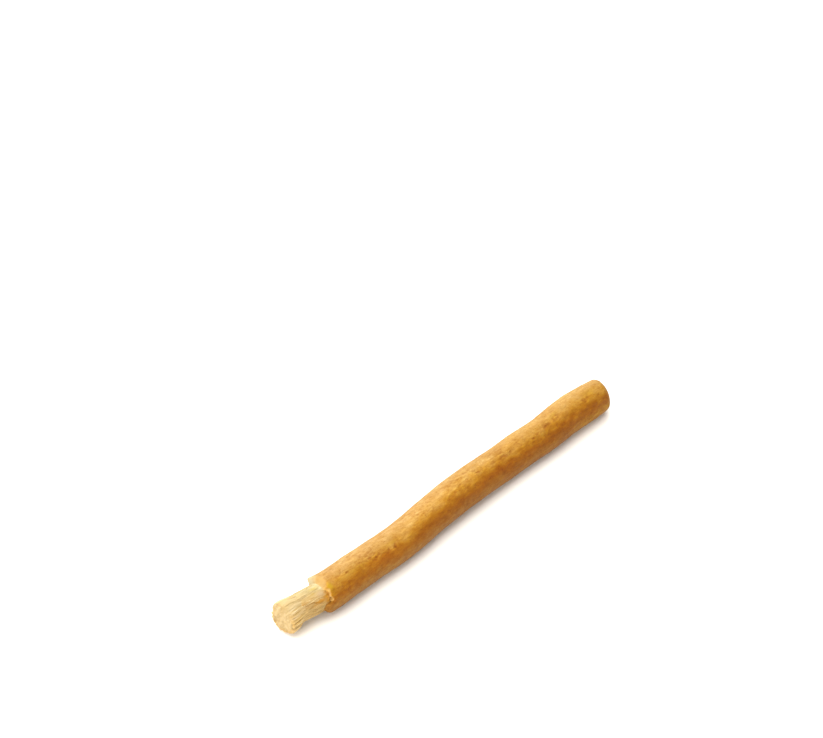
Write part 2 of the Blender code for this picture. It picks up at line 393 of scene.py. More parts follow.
def make_bark(material):
    """The bark as one closed skin: up the bore to the lip, along the outside, and over the sawn end."""
    inside = WOOD_RADIUS - BORE_OVERLAP
    bore_end, side_end = SIDE_START + BORE_DEPTH, LENGTH - END_ROUNDING
    angle = np.arange(BARK_AROUND)[None, :] * 2 * math.pi / BARK_AROUND
    edge, rise, gap, proud, bare = (0.001 * round_table(column, angle) for column in range(1, 6))
    hollow = round_table(6, angle)
    tatter = noise_at(straight_points(0.0, angle, BARK_RADIUS), (1, 0.0008, 0.0008))
    tatter += 0.5 * noise_at(straight_points(0.5, angle, BARK_RADIUS), (1, 0.0003, 0.0003))
    edge = edge + 0.00035 * tatter * (1 - 0.7 * hollow)
    top = edge + rise

    # Each span gives distance along, radius, and how high up the lip's face it is
    share = np.linspace(0, 1, 16)[:, None]
    bore_along = bore_end + (edge - bore_end) * share
    start = neck_radius(edge) - 0.00014 * (1 - ease(0.0, 0.0003, gap)) + gap
    bore_radius = inside + (start - inside) * (1 - ease(0.0, 0.0022, bore_along - edge))
    share = np.linspace(0, 1, 22)[1:-1, None]
    turn = share * math.pi / 2
    run = (1 - np.cos(turn)) * (1 - hollow) + share * hollow
    height = np.sin(turn) * (1 - hollow) + ease(0, 1, share) * hollow
    face_along = edge + rise * run
    face_radius = start + (BARK_RADIUS - start) * height
    side = np.concatenate(([SIDE_START], steps_between(SIDE_START, side_end, BARK_STEP), [side_end]))[:, None]
    side_along = side + (top - SIDE_START) * (1 - ease(0.0, 0.009, side - SIDE_START))
    end_along, end_radius = (value[1:, None] for value in end_arc(BARK_RADIUS, inside, 15))
    bore_back = steps_between(float(end_along[-1, 0]), bore_end, HIDDEN_STEP)[:, None]

    spans = (
        (bore_along, bore_radius, 0.0),
        (face_along, face_radius, height),
        (side_along, BARK_RADIUS, 1.0),
        (end_along, end_radius, 1.0),
        (bore_back, inside, 0.0),
    )
    rows = []
    for span in spans:
        shape = np.broadcast_shapes(*(np.shape(value) for value in span), angle.shape)
        rows.append([np.broadcast_to(value, shape) for value in span])
    along, radius, height = (np.concatenate(column) for column in zip(*rows))
    angle = np.broadcast_to(angle, along.shape)

    straight = straight_points(along, angle, BARK_RADIUS)
    small, patches, pits, folds, crests = fine_bark(straight, along, angle)
    past_edge = along - np.broadcast_to(edge, along.shape)
    stray = noise_at(straight, (0.004, 0.0016, 0.0016)) * (1 - 0.7 * near_angle(angle, CURL_ANGLE, 14))
    soft = 0.0002 + 0.0009 * near_angle(angle, 72, 34)
    skin = ease(-soft, soft, past_edge - bare + 0.0009 * stray)
    skin = np.maximum(skin, ease(0.006, 0.008, past_edge))
    over_end = (along - side_end) / END_ROUNDING
    worn = ease(0.72, 0.80, over_end + 0.06 * noise_at(straight, (1.0, 0.0012, 0.0012)))
    skin = skin * (1 - worn)
    swell = bark_radius(along) / BARK_RADIUS
    raised = lumps(straight) + small * (0.3 + 0.7 * skin) - 0.00008 * (1 - skin)
    raised = raised + proud * (1 - ease(0.0, 0.0035, along - top))
    raised = raised * height * ease(0.0, 0.3, (radius - inside) / (BARK_RADIUS - inside))
    points = place(along, angle, radius * (1 + (swell - 1) * np.maximum(height, near_end(along))) + raised)

    wobble = 10 * noise_at(straight, (0.014, 0.005, 0.005))
    wobble = wobble + 16 * noise_at(straight + 0.6, (0.003, 0.0018, 0.0018))

    # The lip's colours: painted shade under its curl and along its brim, the pale curl with a painted
    # highlight on its raised edge, and painted shade on the lobe below
    painted_shade_under_curl = near_angle(angle, CURL_ANGLE, 15) * (1 - ease(0.22, 0.62, height))
    painted_shade_brim = 0.4 * near_angle(angle, 163, 9) * (1 - ease(0.55, 0.95, height)) * ease(0.0, 0.05, height)
    painted_shade_under_curl = np.maximum(painted_shade_under_curl, painted_shade_brim)
    curl = near_angle(angle, CURL_ANGLE, 13) * ease(0.5, 0.85, height)
    painted_highlight_streak = near_angle(angle, 123, 9) * ease(0.0, 0.15, height) * (1 - ease(0.5, 0.9, height))
    curl = np.maximum(curl, painted_highlight_streak)
    lobe = near_angle(angle, 182, 24) * (1 - ease(0.7, 1.0, height)) * ease(0.0, 0.05, height)
    lobe = np.maximum(lobe, near_angle(angle, 178, 14) * (1 - ease(-0.0005, 0.0012, along - top)) * height)
    attributes = {
        # painted shade in the pits, folds and creases, and a painted highlight on the crests
        "pit_painted_shade": np.clip(0.7 * pits + 0.6 * folds, 0, 1),
        "lobe": lobe,
        "fresh": near_angle(angle, 145, 10) * (1 - ease(0.0006, 0.0028, past_edge - bare)) * height,
        "patch": patches,
        "crest_painted_highlight": np.clip(crests, 0, 1),
        "bleached": marked(BLEACHED, along, angle),
        "deeper": marked(DEEPER, along, angle),
        "red": marked(REDDISH, along, angle),
        "mustard": np.maximum(marked(MUSTARD, along, angle), 0.35 * marked(GOLDEN_BARK, along, angle)),
        "skin": skin,
        "rise": height,
        "pale": near_angle(angle, 41, 17) * (1 - ease(0.0012, 0.0024, past_edge)),
        "curl": curl,
        "painted_highlight_crown": near_angle(angle, CURL_ANGLE, 7) * ease(0.35, 0.8, height),
        "painted_shade_under_curl": painted_shade_under_curl,
        # painted shade along the far part of the stick
        "far": ease(0.02, 0.12, along),
        # painted light and shade: 0 along the lit side, growing round towards the underside
        "shade": from_top(angle, wobble),
        "end": ease(0.0, 0.75, over_end) * height,
        # painted light on the lower side of the stick's last stretch
        "painted_light_low_end": ease(0.128, 0.137, along) * ease(0.40, 0.54, from_top(angle)) * height,
        "cut": worn,
        "out": (radius - inside) / (BARK_RADIUS - inside),
    }
    faces = ring_faces(len(along), BARK_AROUND, closed=True)
    bark = mesh_object("bark_skin", points.reshape(-1, 3), faces, attributes, material)
    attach(bark, "root")
    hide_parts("bark")


def neck_radius(along):
    """The bare wood from the brush's heart to the bark: a low waist, and a swell towards the brush."""
    at = (0.0, 0.0016, 0.0042, 0.0060, 0.0080, 0.0100, 0.0118, 0.0140, 0.0180, 1.0)
    change = (-0.0011, -0.0011, -0.00050, -0.00025, -0.00009, -0.00004, -0.00004, -0.00003, 0.0, 0.0)
    return WOOD_RADIUS + np.interp(along, at, change)


def make_wood(material):
    """The wood as one closed skin: the brush's heart, the bare neck, the hidden rod and the sawn face."""
    heart = 0.0019
    arc_along, arc_radius = end_arc(WOOD_RADIUS, BARK_RADIUS - END_ROUNDING, 16)
    cut = arc_along[0]
    hidden_start, hidden_end = SIDE_START + 0.002, cut - 0.0006
    outline = [(heart, r) for r in np.linspace(0.00015, 0.0041, 16)]
    outline += [(s, None) for s in np.arange(heart + 0.0002, hidden_start, WOOD_STEP)]
    outline += [(s, None) for s in steps_between(hidden_start, hidden_end, HIDDEN_STEP)]
    outline += [(s, None) for s in (hidden_end, cut - 0.0003)]
    outline += [(s, r) for s, r in zip(arc_along, arc_radius)]
    outline += [(LENGTH, r) for r in np.linspace(arc_radius[-1], 0.00015, 22)[1:]]
    along = np.array([s for s, _ in outline])[:, None]
    radius = np.array([neck_radius(s) if r is None else r for s, r in outline])[:, None]
    angle = np.arange(WOOD_AROUND)[None, :] * 2 * math.pi / WOOD_AROUND
    along, angle, radius = np.broadcast_arrays(along, angle, radius)

    side = straight_points(along, angle, WOOD_RADIUS)
    bare = 1 - ease(SIDE_START, SIDE_START + 0.002, along)
    frayed = 1 - ease(0.0040, 0.0130, along)
    rough = 0.12 + 0.88 * ease(0.25, 0.40, from_top(angle))
    grain = noise_at(side, (0.008, 0.00085, 0.00085))
    fine = noise_at(side + 0.4, (0.0035, 0.00034, 0.00034))
    split = np.clip(1 - 5 * np.abs(noise_at(side + 0.9, (0.016, 0.0016, 0.0016))), 0, 1) ** 2
    bumps = noise_at(side + 0.2, (0.0034, 0.0013, 0.0013))
    relief = (0.00006 + 0.00007 * frayed) * grain * rough + 0.00004 * fine + 0.00009 * bumps
    relief -= 0.00010 * marked(WEATHERED, along, angle)
    relief -= (0.00003 + 0.00012 * frayed) * split * rough
    on_side = (along > heart) & (along < cut)
    tapered = radius * (1 + (bark_radius(along) / BARK_RADIUS - 1) * near_end(along))
    outward = tapered + np.where(on_side, bare * relief, 0.0)

    disc = straight_points(along, angle, radius)
    pores = ease(0.40, 0.12, cell_distance(disc, (1.0, 0.00042, 0.00042)))
    saw = noise_at(disc + 0.3, (1.0, 0.00034, 0.0060))
    fuzz = noise_at(disc + 0.7, (1.0, 0.00022, 0.00022))
    spokes = noise_at(straight_points(radius / 0.0030, angle, 9.0), (1, 1, 1))
    rays = np.clip(1 - 3.5 * np.abs(spokes), 0, 1) * ease(0.0004, 0.0016, radius)
    wander = noise_at(disc + 0.1, (1.0, 0.0030, 0.0030))
    growth = np.clip(np.sin(2 * math.pi * (radius / 0.00115 + 0.5 * wander)), 0, 1) ** 3
    on_cut = along >= cut
    moved = np.where(on_cut, 0.00004 * saw + 0.00003 * fuzz + 0.00003 * rays - 0.00005 * pores, 0.0)
    moved += np.where(along <= heart, 0.0003 * noise_at(disc, (1.0, 0.0006, 0.0006)), 0.0)
    points = place(along + moved, angle, outward)

    around, rings = WOOD_AROUND, len(outline)
    faces = ring_faces(rings, around, closed=False)
    faces.append(list(range(around)))
    faces.append(list(range((rings - 1) * around, rings * around))[::-1])
    stain = np.maximum(marked(STAINED, along, angle), 0.55 * marked(WEATHERED, along, angle))
    before_lip = along - 0.001 * round_table(1, angle)
    # Stain and painted shade in the crease under the lip's curl
    notch_stain_and_shade = near_angle(angle, CURL_ANGLE, 20) * ease(-0.0013, -0.0002, before_lip)
    wobble = 20 * noise_at(side, (0.010, 0.003, 0.003))
    attributes = {
        # painted shade in the neck's splits
        "groove_painted_shade": np.clip(split * rough * (0.3 + 0.7 * frayed) * bare, 0, 1),
        "stain": stain * bare,
        "notch_stain_and_shade": notch_stain_and_shade,
        "pink": marked(PINKISH, along, angle) * bare,
        "golden": marked(GOLDEN, along, angle) * bare,
        "pale": marked(PALE_WOOD, along, angle) * bare,
        # painted shade round the neck: 0 along the lit top, growing towards the underside
        "shade": from_top(angle, wobble),
        "cut": on_cut.astype(float),
        "pore": np.where(on_cut, pores, 0.0),
        "ray": np.where(on_cut, rays, 0.0),
        "growth": np.where(on_cut, growth, 0.0),
        "out": radius / WOOD_RADIUS,
    }
    wood = mesh_object("bare_wood", points.reshape(-1, 3), faces, attributes, material)
    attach(wood, "root")
    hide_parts("wood_core")


def strands_object(name, strands, material):
    """One mesh of tapered strands, each one (points from root to tip, radii, tone, share of painted shade
    below, with painted light above 1).

    The tone is one number, or one for each point.
    """
    points, faces, tones, tips, unders = [], [], [], [], []
    sides = FIBRE_SIDES
    turn = np.arange(sides) * 2 * math.pi / sides
    for path, radii, tone, painted_underside in strands:
        path, radii = np.asarray(path), np.asarray(radii)
        run = np.gradient(path, axis=0)
        run /= np.linalg.norm(run, axis=1, keepdims=True)
        helper = np.array((0.0, 0.31, 0.95)) if abs(run[0, 2]) < 0.8 else np.array((0.0, 1.0, 0.0))
        across = np.cross(run, helper)
        across /= np.linalg.norm(across, axis=1, keepdims=True)
        up = np.cross(run, across)
        rings = (
            path[:, None, :]
            + radii[:, None, None] * np.cos(turn)[None, :, None] * across[:, None, :]
            + radii[:, None, None] * np.sin(turn)[None, :, None] * up[:, None, :]
        )
        base, count = len(points), len(path)
        points.extend(rings.reshape(-1, 3).tolist())
        points.append((path[-1] + run[-1] * radii[-1] * 0.7).tolist())
        along_tones = np.broadcast_to(tone, count)
        tones.extend(np.repeat(along_tones, sides).tolist() + [float(along_tones[-1])])
        unders.extend([painted_underside] * (count * sides + 1))
        tips.extend(np.repeat(np.linspace(0, 1, count), sides).tolist() + [1.0])
        for i in range(count - 1):
            for j in range(sides):
                k = (j + 1) % sides
                low, high = base + i * sides, base + (i + 1) * sides
                faces.append((low + j, low + k, high + k, high + j))
        last, tip = base + (count - 1) * sides, base + count * sides
        faces.extend((last + j, last + (j + 1) % sides, tip) for j in range(sides))
        faces.append(tuple(base + j for j in range(sides))[::-1])
    values = {"tone": tones, "tip": tips, "painted_underside": unders}
    made = mesh_object(name, np.array(points), faces, values, material)
    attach(made, "root")


def lock_tips():
    """Where each lock of the brush ends: across and up in shares of the brush's radius, and how far along."""
    chance = np.random.default_rng(LOCK_SEED)
    for ring, (count, at_tip) in enumerate(LOCK_RINGS):
        for i in range(count):
            angle = 2 * math.pi * (i + 0.5 * ring + 0.2 * chance.uniform(-1, 1)) / count
            outside = 1.0 if ring == 0 else 0.3
            splay = outside * near_angle(angle, 203, 24)
            short = outside * near_angle(angle, 20, 32)
            long = outside * near_angle(angle, 300, 50)
            reach = at_tip * (1 + 0.03 * chance.uniform(-1, 1)) + 0.00030 * splay - 0.0002 * short
            tip_along = 0.0002 + 0.0002 * chance.uniform(0, 1)
            tip_along += 0.0009 * short - 0.0001 * splay - 0.0004 * long
            angle += 0.10 * chance.uniform(-1, 1)
            yield reach * math.cos(angle) / BRUSH_RADIUS, reach * math.sin(angle) / BRUSH_RADIUS, tip_along


def brush_radius(along, angle):
    """The outside of the brush: it leaves the neck, swells, and draws in a little at its tip."""
    full = (LOCK_ROOT - along) / LOCK_ROOT
    neck = np.maximum(neck_radius(along), WOOD_RADIUS - 0.00017)
    below = near_angle(angle, 208, 45)
    swell = ease(0.25 + 0.15 * below, 0.80 - 0.12 * below, full)
    radius = neck + (BRUSH_RADIUS + 0.00006 * below - neck) * swell
    radius = radius - 0.00010 * ease(0.88, 1.0, full) - 0.00014 * below * ease(0.80, 1.0, full)
    along, angle = np.broadcast_arrays(along, angle)
    return radius - 0.00022 * marked(SPLITS, along, angle) + 0.00008 * marked(TUFTS, along, angle)


def brush_strands(chance):
    """The brush's fibres fill it evenly, gather into its locks, wave a little, and fray at their tips."""
    locks = np.array(list(lock_tips()))
    lock_tone = chance.uniform(0, 1, len(locks))
    for n in range(FIBRES):
        out = math.sqrt((n + 0.5) / FIBRES)
        angle = n * GOLDEN_ANGLE
        across = out * math.cos(angle) + chance.uniform(-0.008, 0.008)
        up = out * math.sin(angle) + chance.uniform(-0.008, 0.008)
        lock = int(np.argmin((locks[:, 0] - across) ** 2 + (locks[:, 1] - up) ** 2))
        low = float(near_angle(angle, 170, 42))
        outer = float(ease(0.72, 0.92, out))
        gather = 0.05 + 0.22 * low * outer
        count = 10 if out > SHELL else 4
        start = 0.0030 if out < SHELL else 0.0050 + 0.0030 * outer + chance.uniform(-0.0004, 0.0024)
        tuft = noise.noise((across * 6.5, up * 6.5, 3.7))
        tip = locks[lock, 2] + chance.uniform(-0.00008, 0.00012) + 0.00040 * tuft
        tip = tip + 0.00030 * ease(0.86, 1.0, out)
        along = start + (tip - start) * np.linspace(0, 1, count)
        full = np.clip((LOCK_ROOT - along) / LOCK_ROOT, 0, 1)
        pull = gather * ease(0.15, 0.75, full)
        radius = brush_radius(along, angle)
        thick = chance.uniform(0.000105, 0.000140)
        wave = 0.000015 + 0.00004 * full**2
        waves, phase = chance.uniform(1.0, 2.6, 2), chance.uniform(0, 2 * math.pi, 2)
        side = (across + pull * (locks[lock, 0] - across)) * radius
        rise = (up + pull * (locks[lock, 1] - up)) * radius
        side = side + wave * np.sin(waves[0] * 2 * math.pi * full + phase[0])
        rise = rise + wave * np.sin(waves[1] * 2 * math.pi * full + phase[1])
        bend = ease(0.80, 1.0, full)
        curled = outer > 0.5 and chance.uniform() < 0.06 + 0.40 * float(near_angle(angle, 198, 24))
        if curled:
            along = along + bend * chance.uniform(0.0, 0.0007)
            flare = bend * chance.uniform(0.1, 0.55) * 0.001
            side = side + flare * math.cos(angle) + bend * chance.uniform(-0.0003, 0.0003)
            rise = rise + flare * math.sin(angle) + bend * chance.uniform(-0.0003, 0.0003)
        turned, reach = np.arctan2(rise, side), np.hypot(rise, side)
        sunk = thick * (0.9 + 1.5 * (1 - ease(0.0, 0.35, np.linspace(0, 1, count))))
        inner = np.minimum(reach, radius - sunk) if not curled else reach
        radii = thick * np.interp(np.linspace(0, 1, count), (0, 0.6, 0.9, 1), (0.7, 1.0, 0.9, 0.6))
        tone = 0.25 * lock_tone[lock] + 0.35 * chance.uniform() + 0.4 * (0.5 - tuft)
        # Painted shade on the outer fibres along the top, where the light falls
        tone = tone - 0.16 * outer * float(near_angle(angle, 85, 30)) + 0.02 * outer
        round_now = np.full(along.shape, angle)
        # Painted shade in the splits, and a painted highlight on the tufts
        tone = tone - 0.9 * outer * marked(SPLITS, along, round_now)
        tone = tone + 0.4 * outer * marked(TUFTS, along, round_now)
        # Painted shade on the lower side, and painted light along the brush's underside where the share goes
        # above 1
        painted_underside = float(ease(0.25, 0.45, from_top(angle)) + 0.8 * near_angle(angle, 168, 9)) * outer
        yield place(along, turned, inner), radii, tone, painted_underside


def surface_strands(chance):
    """Long single fibres that lie on the neck and the brush's side, some lifting off at one end."""
    for _ in range(NECK_FIBRES):
        angle = chance.uniform(0, 2 * math.pi)
        start = chance.uniform(0.0078, 0.0150)
        end = max(start - chance.uniform(0.003, 0.009), chance.uniform(0.0026, 0.0062))
        share = np.linspace(0, 1, 9)
        along = start + (end - start) * share
        lifted = chance.uniform(-0.00006, 0.00002)
        if chance.uniform() < 0.08:
            lifted = lifted + ease(0.55, 1.0, share) * chance.uniform(0.0001, 0.0004)
        phase = chance.uniform(0, 2 * math.pi)
        turned = angle + 0.03 * np.sin(2 * math.pi * share * chance.uniform(0.5, 1.5) + phase)
        thick = chance.uniform(0.00005, 0.00009)
        radii = thick * np.interp(share, (0, 0.15, 0.8, 1), (0.4, 1.0, 0.9, 0.4))
        painted_underside = float(ease(0.25, 0.45, from_top(angle)))
        yield place(along, turned, brush_radius(along, turned) + lifted), radii, chance.uniform(), painted_underside


def lip_strands(chance):
    """Fine torn fibres along the bark's lip, most of them where the lip curls off the wood."""
    for _ in range(LIP_FIBRES):
        angle = math.radians(chance.normal(144, 11) if chance.uniform() < 0.7 else chance.uniform(160, 330))
        edge, rise, gap = (float(round_table(column, np.array(angle))) for column in (1, 2, 3))
        curl = float(near_angle(angle, CURL_ANGLE, 14))
        root = 0.001 * edge + 0.0004 + chance.uniform(0.0, 0.0005)
        length = chance.uniform(0.0006, 0.0011) + 0.0004 * curl
        share = np.linspace(0, 1, 7)
        bend = chance.uniform(0.15, 0.7) * (0.4 + curl)
        along = root - length * np.sin(bend * share) / bend
        climb = length * (1 - np.cos(bend * share)) / bend
        start_out = neck_radius(0.001 * edge) + 0.001 * gap + chance.uniform(0.00002, 0.0003) * (0.3 + curl)
        turned = angle + chance.uniform(-0.07, 0.07) * share
        thick = chance.uniform(0.00003, 0.00006)
        radii = thick * np.interp(share, (0, 0.2, 0.8, 1), (0.8, 1.0, 0.8, 0.3))
        yield place(along, turned, start_out + climb), radii, 0.4 * chance.uniform(), 1.0


def make_fibres():
    """The brush's fibres, the neck's loose ones and the lip's torn ones, from one run of random numbers."""
    chance = np.random.default_rng(SEED)
    brush = fibre_material("brush_fibre", (1.0, 1.0, 1.0))
    neck = fibre_material("neck_fibre", (0.83, 0.79, 0.68))
    lip = fibre_material("lip_fibre", (0.98, 0.74, 0.38))
    strands_object("brush_fibres", brush_strands(chance), brush)
    strands_object("loose_fibres", surface_strands(chance), neck)
    strands_object("lip_fibres", lip_strands(chance), lip)


class Nodes:
    """Short calls for building a material's node tree."""

    def __init__(self, name):
        self.material = bpy.data.materials.new(name)
        self.material.use_nodes = True
        self.tree = self.material.node_tree
        self.shader = self.tree.nodes["Principled BSDF"]

    def node(self, kind, **settings):
        made = self.tree.nodes.new(kind)
        for key, value in settings.items():
            setattr(made, key, value)
        return made

    def link(self, source, target):
        self.tree.links.new(source, target)

    def feed(self, socket, value):
        """Joins a socket to another node's output, or sets its own value."""
        if isinstance(value, bpy.types.NodeSocket):
            self.link(value, socket)
        elif isinstance(value, tuple) and len(value) == 3 and socket.type == "RGBA":
            socket.default_value = (*value, 1.0)
        else:
            socket.default_value = value

    def attribute(self, name):
        return self.node("ShaderNodeAttribute", attribute_name=name).outputs["Fac"]

    def noise(self, scale, stretch=(1, 1, 1), detail=3.0, roughness=0.55, distortion=0.0):
        """Noise in the object's own coordinates, in cycles per metre, stretched along each axis."""
        where = self.node("ShaderNodeTexCoord").outputs["Object"]
        mapping = self.node("ShaderNodeMapping")
        mapping.inputs["Scale"].default_value = stretch
        self.link(where, mapping.inputs["Vector"])
        made = self.node("ShaderNodeTexNoise")
        made.inputs["Scale"].default_value = scale
        made.inputs["Detail"].default_value = detail
        made.inputs["Roughness"].default_value = roughness
        made.inputs["Distortion"].default_value = distortion
        self.link(mapping.outputs["Vector"], made.inputs["Vector"])
        return made.outputs["Fac"]

    def lines(self, value, width):
        """1 along the middle level of a noise, falling to 0 at this distance from it."""
        away = self.maths("ABSOLUTE", self.maths("SUBTRACT", value, 0.5), 0.0)
        return self.spread(away, 0.0, width, 1.0, 0.0)

    def spread(self, value, low, high, to_low=0.0, to_high=1.0):
        made = self.node("ShaderNodeMapRange", clamp=True)
        for key, number in (("From Min", low), ("From Max", high), ("To Min", to_low), ("To Max", to_high)):
            made.inputs[key].default_value = number
        self.link(value, made.inputs["Value"])
        return made.outputs["Result"]

    def maths(self, operation, first, second):
        made = self.node("ShaderNodeMath", operation=operation)
        self.feed(made.inputs[0], first)
        self.feed(made.inputs[1], second)
        return made.outputs[0]

    def mix(self, share, first, second, kind="MIX"):
        made = self.node("ShaderNodeMix", data_type="RGBA", blend_type=kind)
        self.feed(made.inputs["Factor"], share)
        self.feed(made.inputs[6], first)
        self.feed(made.inputs[7], second)
        return made.outputs[2]

    def tint(self, share, colour, factors):
        """The colour, multiplied by these factors as far as share goes."""
        return self.mix(share, colour, factors, kind="MULTIPLY")

    def ramp(self, value, stops):
        """A run of colours along a value, from (value, colour) pairs."""
        made = self.node("ShaderNodeValToRGB")
        elements = made.color_ramp.elements
        while len(elements) < len(stops):
            elements.new(0.5)
        for element, (at, colour) in zip(elements, stops):
            element.position = at
            element.color = (*colour, 1.0)
        self.link(value, made.inputs["Fac"])
        return made.outputs["Color"]

    def bump(self, height, distance, strength=1.0, before=None):
        made = self.node("ShaderNodeBump")
        made.inputs["Distance"].default_value = distance
        made.inputs["Strength"].default_value = strength
        self.link(height, made.inputs["Height"])
        if before:
            self.link(before, made.inputs["Normal"])
        return made.outputs["Normal"]


def bark_material():
    """Golden-tan bark, painted paler on top and deeper below as light and shade, mottled and pitted, with
    paler inner bark at the lip and the cut.
    """
    n = Nodes("bark")
    broad = n.noise(95, (0.6, 1, 1), detail=2)
    mottle = n.noise(420, (0.5, 1, 1), detail=4, roughness=0.6, distortion=0.4)
    streaks = n.noise(900, (0.10, 1, 1), detail=3)
    grit = n.noise(1150, (0.7, 1, 1), detail=3, roughness=0.7)
    speck = n.noise(2600, (0.6, 1, 1), detail=2)
    cracks = n.lines(n.noise(1300, (0.16, 1, 1), detail=4, roughness=0.6, distortion=0.3), 0.045)
    cracks = n.maths("MULTIPLY", cracks, n.spread(mottle, 0.40, 0.62, 0.15, 1.0))
    cracks = n.maths("MULTIPLY", cracks, n.spread(n.attribute("skin"), 0.0, 1.0, 0.3, 1.0))
    wisps = n.noise(3600, (0.10, 1, 1), detail=3, roughness=0.6)
    # Painted light and shade round the stick: pale tan along the lit side, deep orange-brown below, a little
    # lighter again underneath
    colour = n.ramp(
        n.attribute("shade"),
        (
            (0.03, (0.432, 0.250, 0.076)),
            (0.08, (0.424, 0.238, 0.067)),
            (0.17, (0.396, 0.211, 0.046)),
            (0.25, (0.374, 0.180, 0.027)),
            (0.31, (0.352, 0.156, 0.013)),
            (0.38, (0.300, 0.114, 0.005)),
            (0.47, (0.266, 0.087, 0.003)),
            (0.53, (0.277, 0.104, 0.007)),
            (0.62, (0.284, 0.130, 0.018)),
            (0.78, (0.262, 0.118, 0.022)),
        ),
    )
    # Painted shade along the far part: a little darker and less blue on top, more so on the lower side
    far = n.ramp(
        n.attribute("shade"),
        (
            (0.16, (0.96, 0.94, 0.78)),
            (0.34, (0.92, 0.92, 0.65)),
            (0.53, (0.78, 0.70, 0.58)),
            (0.67, (0.86, 0.74, 0.50)),
        ),
    )
    colour = n.tint(n.attribute("far"), colour, far)
    colour = n.tint(n.attribute("bleached"), colour, (1.16, 1.22, 1.30))
    colour = n.tint(n.attribute("deeper"), colour, (0.86, 0.79, 0.66))
    colour = n.tint(n.attribute("red"), colour, (0.98, 0.86, 0.82))
    colour = n.tint(n.spread(broad, 0.50, 0.68, 0.0, 0.7), colour, (1.10, 1.18, 1.30))
    colour = n.tint(n.spread(broad, 0.48, 0.32, 0.0, 0.7), colour, (0.92, 0.86, 0.80))
    colour = n.tint(n.spread(mottle, 0.52, 0.68, 0.0, 0.8), colour, (1.14, 1.26, 1.60))
    colour = n.tint(n.spread(mottle, 0.48, 0.32, 0.0, 0.9), colour, (0.84, 0.76, 0.64))
    colour = n.tint(n.spread(streaks, 0.54, 0.70, 0.0, 0.6), colour, (0.86, 0.78, 0.72))
    colour = n.tint(n.spread(grit, 0.52, 0.66, 0.0, 0.9), colour, (1.12, 1.16, 1.30))
    colour = n.tint(n.spread(grit, 0.48, 0.34, 0.0, 1.0), colour, (0.84, 0.76, 0.66))
    colour = n.tint(n.spread(speck, 0.58, 0.70, 0.0, 0.8), colour, (0.80, 0.68, 0.60))
    colour = n.tint(n.maths("MULTIPLY", n.attribute("patch"), 0.35), colour, (0.96, 0.90, 0.74))
    colour = n.tint(n.maths("MULTIPLY", cracks, 0.7), colour, (0.80, 0.70, 0.60))
    colour = n.tint(n.spread(wisps, 0.52, 0.70, 0.0, 1.0), colour, (1.09, 1.12, 1.20))
    colour = n.tint(n.spread(wisps, 0.48, 0.30, 0.0, 1.0), colour, (0.90, 0.86, 0.80))
    mustard = n.maths("MULTIPLY", n.attribute("mustard"), n.spread(grit, 0.34, 0.56, 0.5, 0.95))
    colour = n.mix(mustard, colour, (0.392, 0.232, 0.012))
    colour = n.tint(n.attribute("fresh"), colour, (1.22, 1.42, 1.55))
    # Painted shade on the lip's lower lobe
    colour = n.tint(n.attribute("lobe"), colour, (0.83, 0.76, 0.62))
    # Painted shade in the pits, folds and creases, and a painted highlight on the crests of the wrinkled
    # patches
    colour = n.tint(n.attribute("pit_painted_shade"), colour, (0.70, 0.54, 0.40))
    colour = n.tint(n.attribute("crest_painted_highlight"), colour, (1.16, 1.25, 1.36))
    # Painted light on the lower side of the end's rounding and along the stick's lower end, where they turn
    # from the light
    painted_light_rounding = n.maths("MULTIPLY", n.attribute("end"), n.spread(n.attribute("shade"), 0.36, 0.50))
    colour = n.tint(painted_light_rounding, colour, (1.14, 1.26, 0.96))
    colour = n.tint(n.attribute("painted_light_low_end"), colour, (1.24, 1.40, 0.74))
    worn = n.maths("MULTIPLY", n.attribute("end"), n.spread(mottle, 0.35, 0.6, 0.10, 0.4))
    colour = n.mix(worn, colour, (0.384, 0.240, 0.084))

    # Inner bark: like the wood where it starts, then peach, paler on the tongue, brightest where it curls, as
    # pale torn bark with a painted highlight on its raised edge
    inner = n.mix(n.spread(n.attribute("rise"), 0.05, 0.35), (0.408, 0.268, 0.100), (0.384, 0.234, 0.074))
    inner = n.mix(n.attribute("pale"), inner, (0.412, 0.338, 0.190))
    inner = n.mix(n.attribute("curl"), inner, (0.530, 0.310, 0.080))
    inner = n.tint(n.attribute("painted_highlight_crown"), inner, (1.10, 1.30, 1.95))
    inner = n.tint(n.spread(streaks, 0.45, 0.70, 0.0, 0.6), inner, (0.92, 0.80, 0.66))
    cut_face = n.ramp(
        n.attribute("out"),
        (
            (0.00, (0.235, 0.130, 0.045)),
            (0.05, (0.300, 0.180, 0.070)),
            (0.12, (0.400, 0.280, 0.130)),
            (0.36, (0.370, 0.232, 0.092)),
            (0.52, (0.235, 0.112, 0.028)),
        ),
    )
    cut_face = n.tint(n.spread(grit, 0.50, 0.36, 0.0, 1.0), cut_face, (0.74, 0.62, 0.48))
    cut_face = n.tint(n.spread(speck, 0.56, 0.70, 0.0, 1.0), cut_face, (0.70, 0.56, 0.44))
    inner = n.mix(n.attribute("cut"), inner, cut_face)
    colour = n.mix(n.attribute("skin"), inner, colour)
    # Painted shade under the curl and along the brim
    colour = n.mix(n.attribute("painted_shade_under_curl"), colour, (0.350, 0.160, 0.012))
    n.link(colour, n.shader.inputs["Base Color"])
    n.link(n.spread(mottle, 0.3, 0.7, 0.48, 0.62), n.shader.inputs["Roughness"])
    n.shader.inputs["Specular IOR Level"].default_value = 0.10
    normal = n.bump(streaks, 0.00005, 0.7)
    normal = n.bump(mottle, 0.00008, 0.7, normal)
    normal = n.bump(grit, 0.00012, 0.8, normal)
    normal = n.bump(speck, 0.00003, 0.7, normal)
    normal = n.bump(wisps, 0.00004, 0.8, normal)
    normal = n.bump(n.maths("SUBTRACT", 1.0, cracks), 0.00006, 0.8, normal)
    n.link(normal, n.shader.inputs["Normal"])
    return n.material


